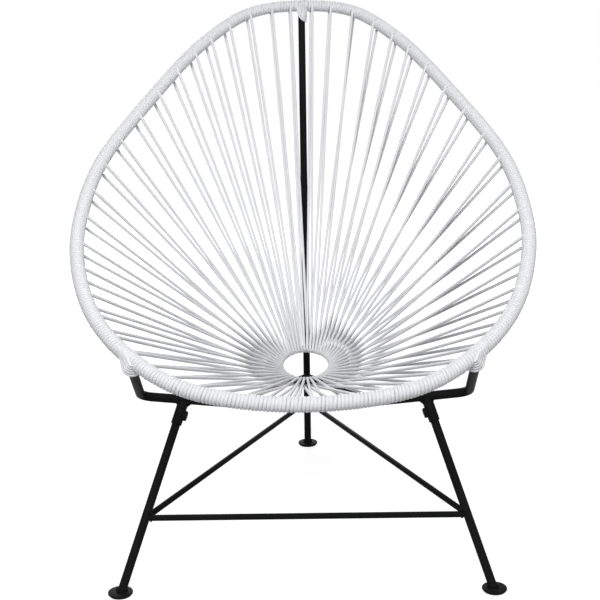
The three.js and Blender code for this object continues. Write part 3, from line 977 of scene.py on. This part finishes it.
class CHAIR_OT_sockets(ChairOperator, bpy.types.Operator):
    """Makes the leg sockets under the crossbar and their bolts"""

    bl_idname = "chair.sockets"
    bl_label = "Leg Sockets"

    def execute(self, context):
        self.prepare(context)
        lines, sizes = self.lines, self.sizes
        down = lines.leg_down
        socket = bar("socket_left", lines.leg_head, lines.lip, sizes.socket_diameter)
        edit(socket)
        pick(socket, "FACE", lambda f: f.normal.dot(down) > FACING)
        wall = (sizes.socket_diameter - sizes.leg_diameter) / 2 - SOCKET_PLAY
        bpy.ops.mesh.inset(thickness=wall, depth=0)
        extrude_by(-down * SOCKET_DEPTH)
        leave_edit()
        bolt = self.bolt(lines.lip - down * BOLT_UP, down, sizes)
        self.coat_both(socket, "leg_socket")
        self.coat_both(bolt, "socket_bolt")
        return {"FINISHED"}

    def bolt(self, centre, down, sizes):
        """Six-sided head with a raised crown, on the socket's inner side."""
        inner = Vector((1, 0, 0))
        inner = (inner - down * inner.dot(down)).normalized()
        seat = centre + inner * (sizes.socket_diameter / 2 - BOLT_SUNK)
        clear_selection()
        bpy.ops.mesh.primitive_cylinder_add(
            vertices=6, radius=sizes.bolt_head / math.sqrt(3), depth=BOLT_HEIGHT,
            location=seat + inner * BOLT_HEIGHT / 2, rotation=turned_to(inner))
        head = settle("bolt_left")
        edit(head)
        pick(head, "FACE", lambda f: f.normal.dot(inner) > FACING)
        bpy.ops.mesh.inset(thickness=BOLT_CROWN, depth=0)
        bpy.ops.transform.translate(value=inner * BOLT_RISE)
        pick(head, "EDGE", lambda e: not e.is_boundary and e.calc_face_angle(0) > CRISP_ANGLE)
        bpy.ops.mesh.bevel(offset=BOLT_EDGE, segments=2, affect="EDGES")
        leave_edit()
        return head


class CHAIR_OT_legs(ChairOperator, bpy.types.Operator):
    """Makes the two front legs"""

    bl_idname = "chair.legs"
    bl_label = "Front Legs"

    def execute(self, context):
        self.prepare(context)
        lines = self.lines
        top = lines.lip - lines.leg_down * LEG_DEPTH
        foot = at_height(lines.front_foot, lines.leg_head, TUBE_FOOT)
        self.coat_both(bar("leg_left", foot, top, self.sizes.leg_diameter), "front_leg")
        return {"FINISHED"}


class CHAIR_OT_braces(ChairOperator, bpy.types.Operator):
    """Makes the brace between the legs, the side braces and the arms"""

    bl_idname = "chair.braces"
    bl_label = "Braces and Arms"

    def execute(self, context):
        self.prepare(context)
        lines, rod = self.lines, self.sizes.brace_diameter
        inner = lines.brace_inner
        self.coat(bar("brace_front", inner, inner * FLIP, rod), "front_brace")
        arm_start = lines.arm_weld + Vector((ARM_INSET, 0, 0))
        for name, start, end, node in (
            ("brace_left", lines.brace_joint, lines.brace_weld, "side_brace"),
            ("arm_left", arm_start, lines.arm_end, "seat_arm"),
        ):
            near, far = (on_line(start, end, share) for share in BRACE_SHARES)
            self.coat_both(bar(name, near, far, rod), node)
        return {"FINISHED"}


def bead(root, rod, tube, rod_radius, tube_radius, size=BEAD_SIZE):
    """Weld bead round a rod that meets a tube: a ring whose points lie on both, slightly rippled."""
    side = rod.cross(tube).normalized()
    over = side.cross(rod)
    clear_selection()
    bpy.ops.mesh.primitive_torus_add(
        major_segments=BEAD_SIDES[0], minor_segments=BEAD_SIDES[1], major_radius=rod_radius,
        minor_radius=size)
    piece = settle("bead")
    edit(piece)
    shape = bmesh.from_edit_mesh(piece.data)
    for vertex in shape.verts:
        angle = math.atan2(vertex.co.y, vertex.co.x)
        ripple = 1 + sum(height * math.sin(count * angle) for height, count in BEAD_RIPPLES)
        outward = over * math.cos(angle) + side * math.sin(angle)
        out = (math.hypot(vertex.co.x, vertex.co.y) - rod_radius) * ripple
        start = outward * rod_radius
        start_across = start - tube * start.dot(tube)
        rod_across = rod - tube * rod.dot(tube)
        reach = max(tube_radius, abs(start.dot(side)) * BEAD_CLEAR)
        a, b = rod_across.length_squared, start_across.dot(rod_across)
        c = start_across.length_squared - reach * reach
        along = (-b + math.sqrt(max(b * b - a * c, 0))) / a
        vertex.co = root + start + outward * out + rod * (along + vertex.co.z * ripple)
    shape.normal_update()
    bmesh.update_edit_mesh(piece.data)
    turn_outwards()
    return piece


def joined(pieces, name):
    """One piece from several."""
    clear_selection()
    for piece in pieces:
        piece.select_set(True)
    bpy.context.view_layer.objects.active = pieces[0]
    bpy.ops.object.join()
    return settle(name)


class CHAIR_OT_welds(ChairOperator, bpy.types.Operator):
    """Lays the weld beads where rods and tubes meet, and the gussets beside the sockets"""

    bl_idname = "chair.welds"
    bl_label = "Welds"

    def execute(self, context):
        self.prepare(context)
        lines, sizes = self.lines, self.sizes
        tube, rod, crossbar, socket = (
            diameter / 2 for diameter in
            (sizes.leg_diameter, sizes.brace_diameter, sizes.bar_diameter, sizes.socket_diameter))
        leg = lines.leg_down
        spine = (lines.rim_top - lines.rear_foot).normalized()
        bar_way = (lines.corner - lines.bar_middle).normalized()
        brace = (lines.brace_weld - lines.brace_joint).normalized()
        arm = (lines.arm_end - lines.arm_weld).normalized()
        left = joined([
            bead(lines.brace_inner, Vector((1, 0, 0)), leg, rod, tube),
            bead(lines.brace_joint, brace, leg, rod, tube),
            bead(lines.brace_weld, -brace, spine, rod, tube),
            bead(lines.arm_weld, arm, spine, rod, tube),
            bead(lines.arm_end, -arm, bar_way, rod, crossbar),
            bead(lines.leg_head, leg, bar_way, socket, crossbar, SOCKET_BEAD),
            self.gusset(lines.leg_head, -bar_way, leg, socket, crossbar),
            self.collar("foot_disc_left", lines.front_foot, lines.leg_head, tube),
        ], "welds_left")
        right = mirrored(left)
        rear = self.collar("foot_disc_rear", lines.rear_foot, lines.rim_top, tube)
        rear.name = rear.data.name = "weld_rear"
        for piece in (left, right, rear):
            self.coat(piece)
        return {"FINISHED"}

    def collar(self, disc, foot, top, tube):
        """Weld bead round the end of a tube that stands on a foot disc, drawn up into a cone."""
        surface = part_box(disc)[1].z
        clear_selection()
        bpy.ops.mesh.primitive_torus_add(
            major_segments=BEAD_SIDES[0], minor_segments=BEAD_SIDES[1], major_radius=tube,
            minor_radius=COLLAR_SIZE, location=at_height(foot, top, surface))
        piece = settle("collar")
        edit(piece)
        pick(piece, "VERT", lambda v: v.co.z > surface + COLLAR_SIZE / 2)
        bpy.ops.transform.translate(value=(0, 0, COLLAR_SIZE))
        leave_edit()
        return piece

    def gusset(self, root, inner, under, socket, crossbar):
        """Small triangle of plate in the corner between a socket and the crossbar, on the inner side."""
        along, down = GUSSET_LEGS
        thick = under.cross(inner).normalized() * GUSSET_HALF
        corner = root + inner * socket * GUSSET_ROOT + under * crossbar * GUSSET_ROOT
        corners = [corner, corner + inner * along, corner + under * down]
        clear_selection()
        bpy.ops.mesh.primitive_circle_add(vertices=3, fill_type="NGON")
        piece = settle("gusset")
        edit(piece)
        shape = bmesh.from_edit_mesh(piece.data)
        for vertex, place in zip(shape.verts, corners):
            vertex.co = place - thick
        shape.normal_update()
        bmesh.update_edit_mesh(piece.data)
        bpy.ops.mesh.select_all(action="SELECT")
        extrude_by(thick * 2)
        turn_outwards()
        return piece


class CHAIR_OT_feet(ChairOperator, bpy.types.Operator):
    """Makes the foot discs and the rubber pads under them"""

    bl_idname = "chair.feet"
    bl_label = "Feet"

    def execute(self, context):
        self.prepare(context)
        rubber = rubber_material(self.colours)
        for place in (*SIDES, "rear"):
            disc, pad = "foot_disc_" + place, "foot_pad_" + place
            self.coat(self.plate("disc_" + place, disc, DISC_EDGE), disc)
            finish(self.plate("pad_" + place, pad, PAD_EDGE), rubber, "foot_rubber", pad)
        return {"FINISHED"}

    def plate(self, name, node, edge):
        """Round plate with softened edges, as large as a CAD node."""
        low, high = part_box(node)
        clear_selection()
        bpy.ops.mesh.primitive_cylinder_add(
            vertices=DISC_SIDES, radius=(high.y - low.y) / 2, depth=high.z - low.z,
            location=(low + high) / 2)
        piece = settle(name)
        edit(piece)
        pick(piece, "EDGE", lambda e: abs(e.verts[0].co.z - e.verts[1].co.z) < SAME_PLACE)
        bpy.ops.mesh.bevel(offset=edge, segments=3, affect="EDGES")
        leave_edit()
        return piece


class CHAIR_OT_rim(ChairOperator, bpy.types.Operator):
    """Coats the rim's tube, which shows in the slots of the winding"""

    bl_idname = "chair.rim"
    bl_label = "Rim Tube"

    def execute(self, context):
        self.prepare(context)
        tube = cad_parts["rim_tube"]
        tube.data.materials.clear()
        tube.data.materials.append(coat_material(self.colours))
        return {"FINISHED"}


class CHAIR_OT_stage(ChairOperator, bpy.types.Operator):
    """Sets up the floor, the lights and the camera"""

    bl_idname = "chair.stage"
    bl_label = "Stage"

    def execute(self, context):
        scene = context.scene
        stage = scene.chair_stage
        scene.view_settings.view_transform = "Standard"
        self.floor()
        scene.world = self.world(stage.world_level)
        for name, place, size in LAMPS:
            self.lamp(name, place, size, getattr(stage, name + "_power"))
        scene.camera = self.camera(stage)
        return {"FINISHED"}

    def floor(self):
        """Pale floor that takes shadows, with a glow of its own for the camera and for reflections."""
        clear_selection()
        bpy.ops.mesh.primitive_plane_add(size=FLOOR_SIZE, location=(0, 0, 0))
        floor = settle("floor")
        material = bpy.data.materials.new("pale_floor")
        material.use_nodes = True
        tree = material.node_tree
        tree.nodes.clear()
        (near, far), (low, high) = GLOW_REACH, GLOW_LEVELS
        matt = add_node(tree, "ShaderNodeBsdfDiffuse", {"Color": (*[FLOOR_GREY] * 3, 1)})
        glow = add_node(tree, "ShaderNodeEmission")
        path = add_node(tree, "ShaderNodeLightPath")
        seen = add_node(tree, "ShaderNodeMath", operation="MAXIMUM")
        level = add_node(tree, "ShaderNodeMath", operation="MULTIPLY")
        places = add_node(tree, "ShaderNodeTexCoord")
        away = add_node(tree, "ShaderNodeVectorMath", operation="LENGTH")
        spread = add_node(
            tree, "ShaderNodeMapRange",
            {"From Min": near, "From Max": far, "To Min": low, "To Max": high},
            interpolation_type="SMOOTHSTEP")
        both = add_node(tree, "ShaderNodeAddShader")
        out = add_node(tree, "ShaderNodeOutputMaterial")
        wire(
            tree,
            (places, "Object", away, 0), (away, "Value", spread, "Value"),
            (spread, "Result", level, 1),
            (path, "Is Camera Ray", seen, 0), (path, "Is Glossy Ray", seen, 1),
            (seen, 0, level, 0), (level, 0, glow, "Strength"),
            (matt, 0, both, 0), (glow, 0, both, 1), (both, 0, out, "Surface"))
        floor.data.materials.append(material)

    def world(self, strength):
        """Even light from all round, white to the camera, in reflections and through glass."""
        world = bpy.data.worlds.new("studio")
        world.use_nodes = True
        tree = world.node_tree
        tree.nodes.clear()
        white = {"Color": (1, 1, 1, 1)}
        soft = add_node(tree, "ShaderNodeBackground", {**white, "Strength": strength})
        bright = add_node(tree, "ShaderNodeBackground", white)
        path = add_node(tree, "ShaderNodeLightPath")
        seen = add_node(tree, "ShaderNodeMath", operation="MAXIMUM")
        any_of = add_node(tree, "ShaderNodeMath", operation="MAXIMUM")
        mix = add_node(tree, "ShaderNodeMixShader")
        out = add_node(tree, "ShaderNodeOutputWorld")
        wire(
            tree,
            (path, "Is Camera Ray", seen, 0), (path, "Is Glossy Ray", seen, 1),
            (seen, 0, any_of, 0), (path, "Is Transmission Ray", any_of, 1),
            (any_of, 0, mix, 0), (soft, 0, mix, 1), (bright, 0, mix, 2),
            (mix, 0, out, "Surface"))
        return world

    def lamp(self, name, place, size, power):
        """Square lamp that shines at the seat."""
        clear_selection()
        aim = LAMP_AIM - Vector(place)
        bpy.ops.object.light_add(
            type="AREA", location=place, rotation=aim.to_track_quat("-Z", "Y").to_euler())
        lamp = bpy.context.object
        lamp.name = name
        lamp.data.size = size
        lamp.data.energy = power

    def camera(self, stage):
        clear_selection()
        bpy.ops.object.camera_add(location=stage.camera_place)
        camera = bpy.context.object
        camera.name = "camera"
        turn = (
            Matrix.Rotation(-stage.camera_yaw, 3, "Z")
            @ Matrix.Rotation(math.pi / 2 - stage.camera_pitch, 3, "X")
            @ Matrix.Rotation(stage.camera_roll, 3, "Z")
        )
        camera.rotation_euler = turn.to_euler()
        camera.data.sensor_width = SENSOR_WIDTH
        camera.data.lens = stage.lens
        return camera


class CHAIR_PT_panel(bpy.types.Panel):
    """Lists the chair's sizes, colours and pieces"""

    bl_label = "Chair"
    bl_idname = "CHAIR_PT_panel"
    bl_space_type = "VIEW_3D"
    bl_region_type = "UI"
    bl_category = "Chair"

    def draw(self, context):
        layout = self.layout
        scene = context.scene
        for group in (scene.chair_sizes, scene.chair_finish, scene.chair_stage):
            column = layout.column(align=True)
            for name in group.__annotations__:
                column.prop(group, name)
        column = layout.column()
        for operator in OPERATORS:
            column.operator(operator.bl_idname)


OPERATORS = (
    CHAIR_OT_strung_cord,
    CHAIR_OT_lashings,
    CHAIR_OT_rim,
    CHAIR_OT_centre_ring,
    CHAIR_OT_spine,
    CHAIR_OT_crossbar,
    CHAIR_OT_sockets,
    CHAIR_OT_legs,
    CHAIR_OT_braces,
    CHAIR_OT_welds,
    CHAIR_OT_feet,
    CHAIR_OT_stage,
)
CLASSES = (ChairSizes, ChairFinish, ChairStage, *OPERATORS, CHAIR_PT_panel)


def register():
    for chair_class in CLASSES:
        bpy.utils.register_class(chair_class)
    bpy.types.Scene.chair_sizes = PointerProperty(type=ChairSizes)
    bpy.types.Scene.chair_finish = PointerProperty(type=ChairFinish)
    bpy.types.Scene.chair_stage = PointerProperty(type=ChairStage)


def unregister():
    del bpy.types.Scene.chair_stage
    del bpy.types.Scene.chair_finish
    del bpy.types.Scene.chair_sizes
    for chair_class in reversed(CLASSES):
        bpy.utils.unregister_class(chair_class)


def main():
    register()
    for operator in OPERATORS:
        group, name = operator.bl_idname.split(".")
        getattr(getattr(bpy.ops, group), name)()


if __name__ == "__main__":
    main()
